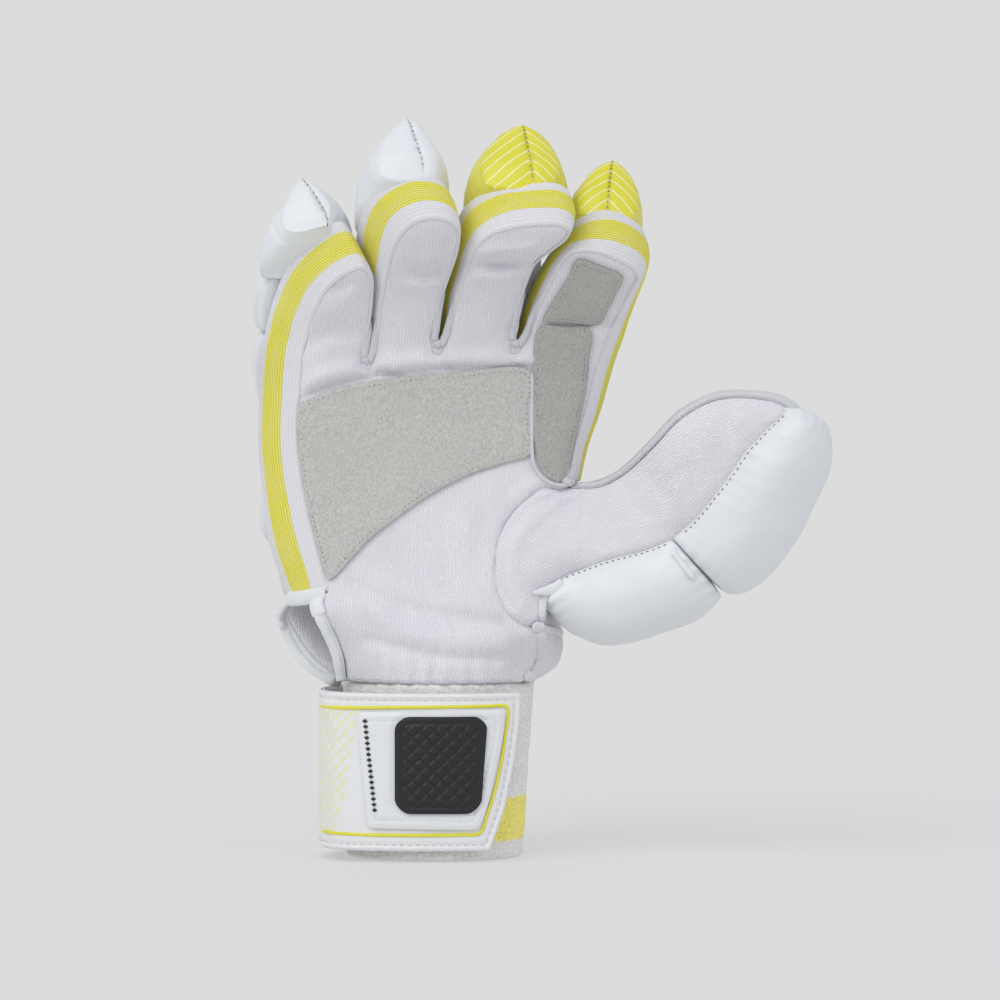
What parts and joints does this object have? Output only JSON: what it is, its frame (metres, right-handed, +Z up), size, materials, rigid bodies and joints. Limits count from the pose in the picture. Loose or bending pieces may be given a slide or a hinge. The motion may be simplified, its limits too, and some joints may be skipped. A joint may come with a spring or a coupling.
{
  "type": "cricket batting glove",
  "caption": "Right-hand cricket batting glove with padded finger rolls, two-part thumb pad, ribbed finger side strips, suede palm patches, towelling cuff and wrist strap.",
  "frame": {"origin": "middle of the footprint of the whole glove, on the plane the cuff stands on", "axes": "+Z up from the cuff to the fingertips; the palm faces -Y; the thumb points to +X"},
  "size_m": [0.2122, 0.0872, 0.2676],
  "materials": {
    "knit": "matte",
    "suede": "matte",
    "elastic": "matte",
    "white_leather": "semi-gloss",
    "yellow_leather": "semi-gloss",
    "towelling": "matte",
    "strap": "satin",
    "emblem": "satin",
    "binding": "matte"
  },
  "bodies": {
    "root": {"palm_panel": "knit", "back_panel": "knit", "little_side_strip": "elastic", "ring_side_strip": "elastic", "middle_side_strip": "elastic", "index_side_strip": "elastic", "thumb_side_strip": "binding", "wrist_side_strip": "knit", "thumb_front_panel": "knit", "thumb_back_panel": "knit", "palm_patch": "suede", "index_patch": "suede", "index_tip_patch": "suede", "little_tip_roll": "white_leather", "little_middle_roll": "white_leather", "little_base_roll": "white_leather", "ring_tip_roll": "white_leather", "ring_middle_roll": "white_leather", "ring_base_roll": "white_leather", "middle_tip_roll": "yellow_leather", "middle_middle_roll": "white_leather", "middle_base_roll": "white_leather", "index_tip_roll": "yellow_leather", "index_middle_roll": "white_leather", "index_base_roll": "white_leather", "back_roll_1": "white_leather", "back_roll_2": "white_leather", "back_roll_3": "white_leather", "back_roll_4": "white_leather", "wrist_roll_1": "white_leather", "wrist_roll_2": "white_leather", "wrist_roll_3": "white_leather", "thumb_tip_pad": "white_leather", "thumb_base_pad": "white_leather", "slit_binding_front": "white_leather", "slit_binding_back": "white_leather", "towelling_cuff": "towelling", "wrist_strap": "strap", "strap_plate": "strap", "strap_emblem": "emblem"}
  },
  "joints": []
}
